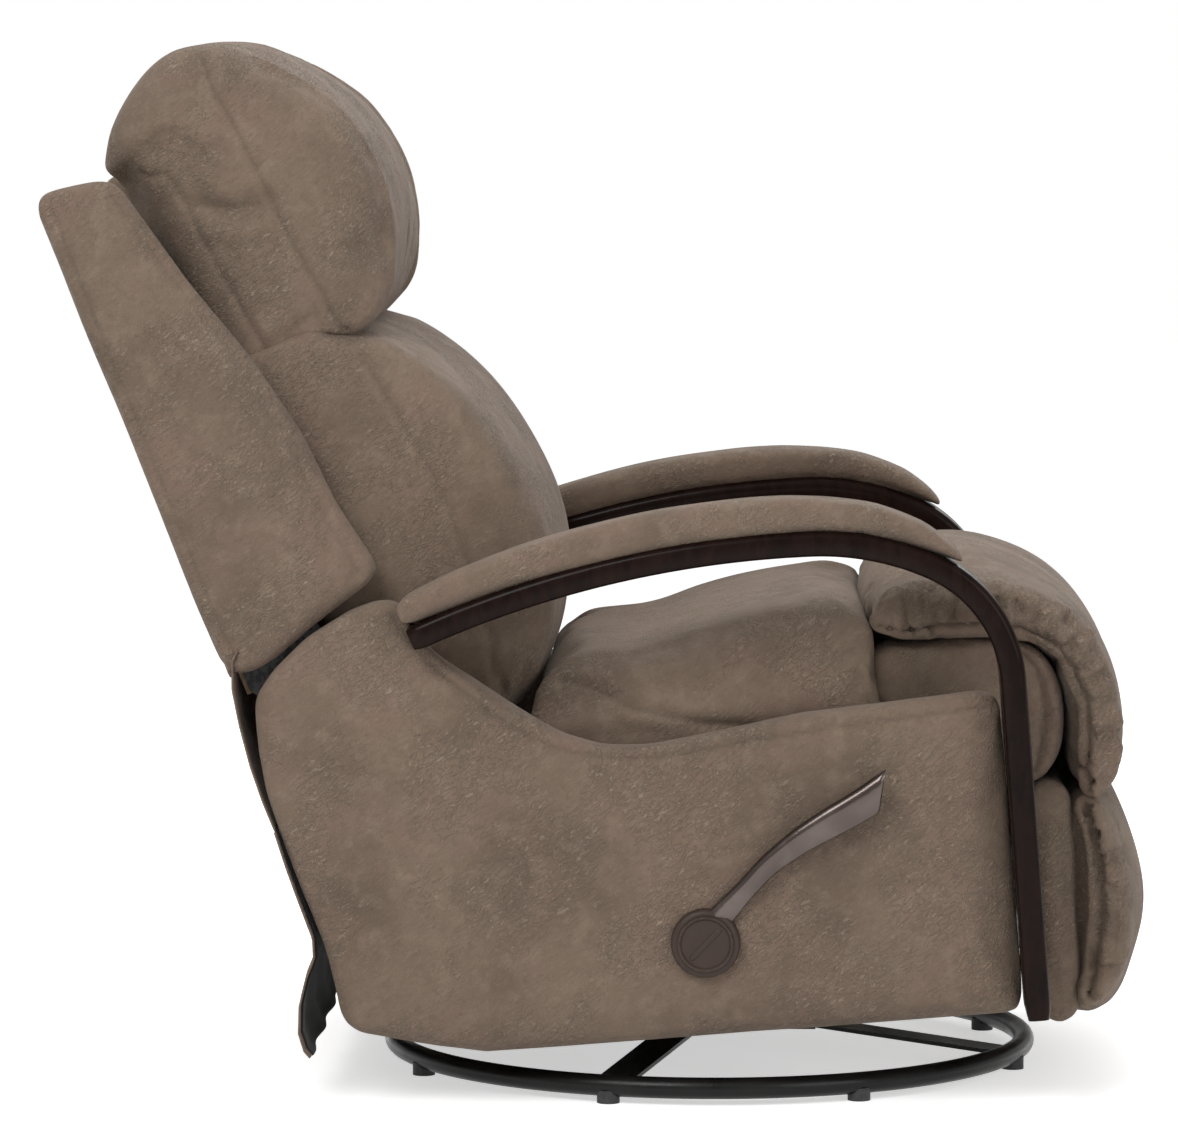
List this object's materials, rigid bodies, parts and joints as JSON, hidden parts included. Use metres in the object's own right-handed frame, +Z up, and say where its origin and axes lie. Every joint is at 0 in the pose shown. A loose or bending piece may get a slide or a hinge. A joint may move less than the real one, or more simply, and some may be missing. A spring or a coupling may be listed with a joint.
{
  "type": "swivel glider recliner",
  "caption": "Upholstered recliner with bent wooden arms that swivels and glides on a round tube base, with a lever-released footrest and a reclining back.",
  "frame": {"origin": "on the floor, below the middle of the whole chair at rest", "axes": "+Z up, the chair faces -Y, the sitter's right hand is at -X"},
  "size_m": [0.7816, 1.0604, 1.0158],
  "materials": {
    "suede_fabric": "brushed suede cloth",
    "bent_wood": "espresso semi-gloss",
    "frame_wood": "raw",
    "webbing": "woven elastic",
    "handle_bronze": "bronze metallic",
    "handle_brown": "matte brown",
    "plastic": "matte black",
    "base_black": "satin black",
    "mechanism_steel": "black steel"
  },
  "bodies": {
    "base": {"base_ring": "base_black", "base_cross_bars": "base_black", "base_feet": "plastic", "base_hub_plate": "base_black", "swivel_pin": "mechanism_steel", "swivel_bearing_lower": "mechanism_steel"},
    "swivel_frame": {"swivel_top_plate": "mechanism_steel", "swivel_bearing_upper": "mechanism_steel", "glider_cross_members": "mechanism_steel", "glider_uprights": "mechanism_steel", "glider_pivot_pins": "mechanism_steel"},
    "front_glide_links": {"front_glide_links": "mechanism_steel"},
    "rear_glide_links": {"rear_glide_links": "mechanism_steel"},
    "seat_box": {"side_panel_left": "suede_fabric", "side_panel_right": "suede_fabric", "handle_bushings": "plastic", "box_front_rail": "frame_wood", "box_rear_rail": "frame_wood", "arm_rail_left": "bent_wood", "arm_rail_right": "bent_wood", "arm_pad_left": "suede_fabric", "arm_pad_right": "suede_fabric", "glide_rails": "mechanism_steel", "glide_rail_pins": "mechanism_steel", "back_hinge_plates": "mechanism_steel", "recline_pins": "mechanism_steel", "seat_guide_tracks": "mechanism_steel", "rear_skirt": "suede_fabric"},
    "handle": {"release_handle": "handle_bronze", "handle_cap": "handle_brown", "drive_rod": "mechanism_steel"},
    "seat": {"seat_side_rails": "frame_wood", "seat_cross_rails": "frame_wood", "seat_webbing": "webbing", "seat_slides": "mechanism_steel", "seat_cushion": "suede_fabric", "seat_front_roll": "suede_fabric", "chaise_pad_top": "suede_fabric", "footrest_mount_plates": "mechanism_steel", "footrest_mount_pins": "mechanism_steel"},
    "chaise_front": {"chaise_pad_front": "suede_fabric"},
    "main_links": {"footrest_main_links": "mechanism_steel", "main_link_pins": "mechanism_steel"},
    "front_links": {"footrest_front_links": "mechanism_steel", "front_link_pins": "mechanism_steel"},
    "guide_links": {"footrest_guide_links": "mechanism_steel"},
    "control_links": {"footrest_control_links": "mechanism_steel"},
    "footrest": {"footrest_board": "frame_wood", "footrest_pad": "suede_fabric", "footrest_brackets": "mechanism_steel", "footrest_pins": "mechanism_steel"},
    "backrest": {"back_stiles": "frame_wood", "back_rails": "frame_wood", "back_webbing": "webbing", "back_brackets": "mechanism_steel", "outside_back_panel": "suede_fabric", "wing_left": "suede_fabric", "wing_right": "suede_fabric", "lumbar_cushion": "suede_fabric", "head_pillow": "suede_fabric"}
  },
  "joints": [
    {"name": "swivel", "type": "hinge", "parent": "base", "child": "swivel_frame", "pos_m": [0, -0.107, 0], "axis": [0, 0, 1], "continuous": true},
    {"name": "glide", "type": "hinge", "parent": "swivel_frame", "child": "front_glide_links", "pos_m": [0, -0.197, 0.215], "axis": [-1, 0, 0], "range_deg": [-16, 16]},
    {"name": "glide_rear", "type": "hinge", "parent": "swivel_frame", "child": "rear_glide_links", "pos_m": [0, -0.017, 0.215], "axis": [-1, 0, 0], "range_deg": [-16.05, 16.05]},
    {"name": "box_level", "type": "hinge", "parent": "front_glide_links", "child": "seat_box", "pos_m": [0, -0.197, 0.105], "axis": [-1, 0, 0], "range_deg": [-16.05, 16.05]},
    {"name": "recline", "type": "hinge", "parent": "seat_box", "child": "backrest", "pos_m": [0, 0.1531, 0.29008], "axis": [-1, 0, 0], "range_deg": [0, 35]},
    {"name": "seat_slide", "type": "slide", "parent": "seat_box", "child": "seat", "axis": [0, -0.9968, 0.0802], "range_m": [0, 0.0451]},
    {"name": "footrest_open", "type": "hinge", "parent": "seat", "child": "main_links", "pos_m": [0, -0.32217, 0.31828], "axis": [-1, 0, 0], "range_deg": [0, 92.8]},
    {"name": "footrest_guide", "type": "hinge", "parent": "seat", "child": "guide_links", "pos_m": [0, -0.35963, 0.35139], "axis": [-1, 0, 0], "range_deg": [0, 93.45]},
    {"name": "footrest_front", "type": "hinge", "parent": "main_links", "child": "front_links", "pos_m": [0, -0.29599, 0.09541], "axis": [-1, 0, 0], "range_deg": [-102.55, 0]},
    {"name": "footrest_control", "type": "hinge", "parent": "main_links", "child": "control_links", "pos_m": [0, -0.2993, 0.12362], "axis": [-1, 0, 0], "range_deg": [-102.49, 0]},
    {"name": "footrest_turn", "type": "hinge", "parent": "front_links", "child": "footrest", "pos_m": [0, -0.39717, 0.20898], "axis": [-1, 0, 0], "range_deg": [0, 94.75]},
    {"name": "chaise_fold", "type": "hinge", "parent": "seat", "child": "chaise_front", "pos_m": [0, -0.42595, 0.42495], "axis": [-1, 0, 0], "range_deg": [0, 92.05]},
    {"name": "handle_pull", "type": "hinge", "parent": "seat_box", "child": "handle", "pos_m": [0, -0.10547, 0.1624], "axis": [-1, 0, 0], "range_deg": [0, 75.05]}
  ],
  "couplings": [
    {"joint": "glide_rear", "follows": "glide", "ratio": 1},
    {"joint": "box_level", "follows": "glide", "ratio": -1},
    {"joint": "seat_slide", "follows": "recline", "m_per_rad": 0.073666},
    {"joint": "footrest_guide", "follows": "footrest_open", "ratio": 1.0065},
    {"joint": "footrest_front", "follows": "footrest_open", "ratio": -1.1045},
    {"joint": "footrest_control", "follows": "footrest_open", "ratio": -1.1039},
    {"joint": "footrest_turn", "follows": "footrest_open", "ratio": 1.0205},
    {"joint": "chaise_fold", "follows": "footrest_open", "ratio": 0.99138},
    {"joint": "handle_pull", "follows": "footrest_open", "ratio": 0.80819}
  ]
}
